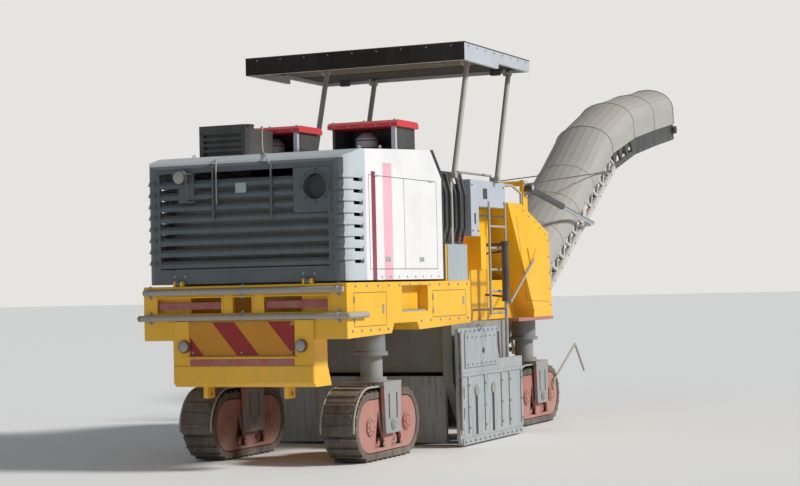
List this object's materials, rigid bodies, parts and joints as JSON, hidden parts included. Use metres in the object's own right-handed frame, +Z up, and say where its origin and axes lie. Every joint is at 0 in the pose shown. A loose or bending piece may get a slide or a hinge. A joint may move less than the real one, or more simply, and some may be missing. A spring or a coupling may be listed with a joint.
{
  "type": "tracked cold planer milling machine",
  "caption": "Road milling machine on four steerable crawler tracks with a milling drum, tilting engine hood, folding canopy and slewing front discharge conveyor.",
  "frame": {"origin": "on the ground under the middle of the machine's whole length, on the chassis' middle plane", "axes": "+Z up, +Y forward along the discharge conveyor, +X to the machine's right"},
  "size_m": [2.7, 14.5347, 4.9674],
  "materials": {
    "chassis_yellow": "gloss enamel, dusty",
    "hazard_paint": "red and yellow bands",
    "rail_paint": "worn cream grey paint",
    "lamp_lens": "clear red lens",
    "engine_iron": "matte",
    "cooler_aluminium": "finned",
    "console_grey": "satin",
    "dark_paint": "satin, dusty",
    "seat_vinyl": "vinyl",
    "step_grey": "satin",
    "signal_red": "gloss",
    "dusty_red": "dust on red",
    "housing_grey": "scuffed",
    "belt_rubber": "matte, dusty",
    "hose_rubber": "ribbed hose, dusty",
    "hood_white": "gloss",
    "hood_grey": "satin",
    "drum_steel": "worn",
    "wear_plate": "scraped paint and steel",
    "shoe_iron": "dusty",
    "canopy_grey": "satin",
    "conveyor_white": "satin, dusty",
    "cover_grey": "matte, dusty",
    "rod_chrome": "polished"
  },
  "bodies": {
    "chassis": {"main_frame": "chassis_yellow", "rear_box": "chassis_yellow", "hazard_board": "hazard_paint", "guard_rails": "rail_paint", "rear_lamps": "lamp_lens", "engine_block": "engine_iron", "cooler_pack": "cooler_aluminium", "platform_walls": "chassis_yellow", "platform_rails": "rail_paint", "side_consoles": "console_grey", "control_desk": "dark_paint", "operator_seat": "seat_vinyl", "access_bays": "dark_paint", "step_boxes": "step_grey", "extinguisher": "signal_red", "front_block": "chassis_yellow", "front_step_bars": "dusty_red", "drum_housing": "housing_grey", "primary_trough": "dark_paint", "primary_belt": "belt_rubber", "nose_frame": "chassis_yellow", "side_cylinders": "dark_paint", "hydraulic_hoses": "hose_rubber"},
    "hood": {"hood_shell": "hood_white", "hood_tail": "hood_grey", "rear_grille": "hood_grey", "hood_lamps": "dark_paint", "intake_boxes": "dark_paint", "air_cleaners": "canopy_grey", "intake_lids": "signal_red", "exhaust_box": "dark_paint"},
    "drum": {"milling_drum": "drum_steel"},
    "side_plate_left": {"side_plate_left": "wear_plate"},
    "side_plate_right": {"side_plate_right": "wear_plate"},
    "scraper": {"scraper_blade": "wear_plate"},
    "track_unit_rear_left": {"track_frame_rear_left": "dusty_red", "track_rear_left": "shoe_iron"},
    "track_unit_rear_right": {"track_frame_rear_right": "dusty_red", "track_rear_right": "shoe_iron"},
    "track_unit_front_left": {"track_frame_front_left": "dusty_red", "track_front_left": "shoe_iron"},
    "track_unit_front_right": {"track_frame_front_right": "dusty_red", "track_front_right": "shoe_iron", "guide_pointer": "rail_paint"},
    "canopy_rear_posts": {"canopy_rear_posts": "rail_paint"},
    "canopy_roof": {"canopy_roof": "canopy_grey"},
    "canopy_front_posts": {"canopy_front_posts": "rail_paint"},
    "slew_cradle": {"slew_cradle": "chassis_yellow"},
    "conveyor": {"conveyor_frame": "conveyor_white", "conveyor_rollers": "dark_paint", "conveyor_cover": "cover_grey", "conveyor_belt": "belt_rubber", "conveyor_head": "dark_paint"},
    "lift_barrels": {"lift_barrels": "dark_paint"},
    "lift_rods": {"lift_rods": "rod_chrome"}
  },
  "joints": [
    {"name": "hood_tilt", "type": "hinge", "parent": "chassis", "child": "hood", "pos_m": [0, -7.16909, 1.828], "axis": [1, 0, 0], "range_deg": [0, 60]},
    {"name": "drum_spin", "type": "hinge", "parent": "chassis", "child": "drum", "pos_m": [0, -3.71909, 0.535], "axis": [1, 0, 0], "continuous": true},
    {"name": "side_plate_left_slide", "type": "slide", "parent": "chassis", "child": "side_plate_left", "axis": [0, 0, 1], "range_m": [0, 0.35]},
    {"name": "side_plate_right_slide", "type": "slide", "parent": "chassis", "child": "side_plate_right", "axis": [0, 0, 1], "range_m": [0, 0.35]},
    {"name": "scraper_slide", "type": "slide", "parent": "chassis", "child": "scraper", "axis": [0, 0, 1], "range_m": [0, 0.3]},
    {"name": "steer_rear", "type": "hinge", "parent": "chassis", "child": "track_unit_rear_right", "pos_m": [0.8, -5.92909, 0], "axis": [0, 0, 1], "range_deg": [-20, 20]},
    {"name": "steer_rear_left", "type": "hinge", "parent": "chassis", "child": "track_unit_rear_left", "pos_m": [-0.8, -5.92909, 0], "axis": [0, 0, 1], "range_deg": [-20, 20]},
    {"name": "steer_front", "type": "hinge", "parent": "chassis", "child": "track_unit_front_right", "pos_m": [0.8, -1.36909, 0], "axis": [0, 0, 1], "range_deg": [-20, 20]},
    {"name": "steer_front_left", "type": "hinge", "parent": "chassis", "child": "track_unit_front_left", "pos_m": [-0.8, -1.36909, 0], "axis": [0, 0, 1], "range_deg": [-20, 20]},
    {"name": "canopy_fold", "type": "hinge", "parent": "chassis", "child": "canopy_rear_posts", "pos_m": [0, -4.36909, 2.96], "axis": [-1, 0, 0], "range_deg": [0, 50]},
    {"name": "canopy_level", "type": "hinge", "parent": "canopy_rear_posts", "child": "canopy_roof", "pos_m": [0, -3.8919, 4.25], "axis": [-1, 0, 0], "range_deg": [-50, 0]},
    {"name": "canopy_front_fold", "type": "hinge", "parent": "chassis", "child": "canopy_front_posts", "pos_m": [0, -3.04909, 2.96], "axis": [-1, 0, 0], "range_deg": [0, 50]},
    {"name": "conveyor_slew", "type": "hinge", "parent": "chassis", "child": "slew_cradle", "pos_m": [0, -0.40909, 0.74], "axis": [0, 0, 1], "range_deg": [-40, 40]},
    {"name": "conveyor_lift", "type": "hinge", "parent": "slew_cradle", "child": "conveyor", "pos_m": [0, -0.40909, 1.16], "axis": [1, 0, 0], "range_deg": [-15, 8]},
    {"name": "lift_barrel_tilt", "type": "hinge", "parent": "slew_cradle", "child": "lift_barrels", "pos_m": [0, -0.38909, 3], "axis": [1, 0, 0], "range_deg": [-13.5, 7.5]},
    {"name": "lift_rod_slide", "type": "slide", "parent": "lift_barrels", "child": "lift_rods", "axis": [0, 0.9888, -0.1492], "range_m": [-0.26, 0.48]}
  ],
  "couplings": [
    {"joint": "steer_rear_left", "follows": "steer_rear", "ratio": 1},
    {"joint": "steer_front_left", "follows": "steer_front", "ratio": 1},
    {"joint": "canopy_level", "follows": "canopy_fold", "ratio": -1},
    {"joint": "canopy_front_fold", "follows": "canopy_fold", "ratio": 1},
    {"joint": "lift_barrel_tilt", "follows": "conveyor_lift", "ratio": 0.88},
    {"joint": "lift_rod_slide", "follows": "conveyor_lift", "m_per_rad": -1.8}
  ]
}
